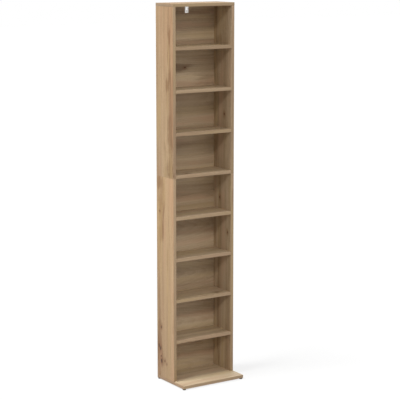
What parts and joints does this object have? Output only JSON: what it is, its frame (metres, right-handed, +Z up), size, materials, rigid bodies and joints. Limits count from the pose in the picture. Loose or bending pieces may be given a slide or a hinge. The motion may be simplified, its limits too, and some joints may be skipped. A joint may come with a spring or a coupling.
{
  "type": "disc storage tower",
  "caption": "Tall narrow open-fronted storage tower for discs, with fixed shelves, a base board that reaches out in front, and a slotted wall bracket.",
  "frame": {"origin": "on the floor under the middle of the bounding box", "axes": "+Z up, the open front faces -Y, +X to the right seen from the front"},
  "size_m": [0.335, 0.235, 1.775],
  "materials": {
    "oak_decor": "matt knotty oak decor on engineered board, with matching edge band",
    "back_decor": "matt oak decor on thin fibreboard",
    "white_steel": "white powder coat",
    "zinc_alloy": "bare die-cast zinc",
    "plated_steel": "zinc-plated steel",
    "beech": "raw beech",
    "dark_plastic": "matt dark plastic"
  },
  "bodies": {
    "root": {"top_panel": "oak_decor", "base_panel": "oak_decor", "left_side_upper": "oak_decor", "left_side_lower": "oak_decor", "right_side_upper": "oak_decor", "right_side_lower": "oak_decor", "shelf_1": "oak_decor", "shelf_2": "oak_decor", "shelf_3": "oak_decor", "shelf_4": "oak_decor", "shelf_5": "oak_decor", "shelf_6": "oak_decor", "shelf_7": "oak_decor", "shelf_8": "oak_decor", "upper_back_panel": "back_decor", "lower_back_panel": "back_decor", "wall_bracket": "white_steel", "shelf_1_left_fixing": "zinc_alloy", "shelf_1_right_fixing": "zinc_alloy", "shelf_2_left_fixing": "zinc_alloy", "shelf_2_right_fixing": "zinc_alloy", "shelf_3_left_fixing": "zinc_alloy", "shelf_3_right_fixing": "zinc_alloy", "shelf_4_left_fixing": "zinc_alloy", "shelf_4_right_fixing": "zinc_alloy", "shelf_5_left_fixing": "zinc_alloy", "shelf_5_right_fixing": "zinc_alloy", "shelf_6_left_fixing": "zinc_alloy", "shelf_6_right_fixing": "zinc_alloy", "shelf_7_left_fixing": "zinc_alloy", "shelf_7_right_fixing": "zinc_alloy", "shelf_8_left_fixing": "zinc_alloy", "shelf_8_right_fixing": "zinc_alloy", "top_left_fixing": "zinc_alloy", "top_right_fixing": "zinc_alloy", "left_seam_dowel_front": "beech", "left_seam_dowel_rear": "beech", "right_seam_dowel_front": "beech", "right_seam_dowel_rear": "beech", "left_top_dowel_front": "beech", "left_top_dowel_rear": "beech", "right_top_dowel_front": "beech", "right_top_dowel_rear": "beech", "base_screw_front_left": "plated_steel", "base_screw_rear_left": "plated_steel", "base_screw_front_right": "plated_steel", "base_screw_rear_right": "plated_steel", "bracket_screw_front": "plated_steel", "bracket_screw_rear": "plated_steel", "foot_front_left": "dark_plastic", "foot_rear_left": "dark_plastic", "foot_front_right": "dark_plastic", "foot_rear_right": "dark_plastic"}
  },
  "joints": []
}
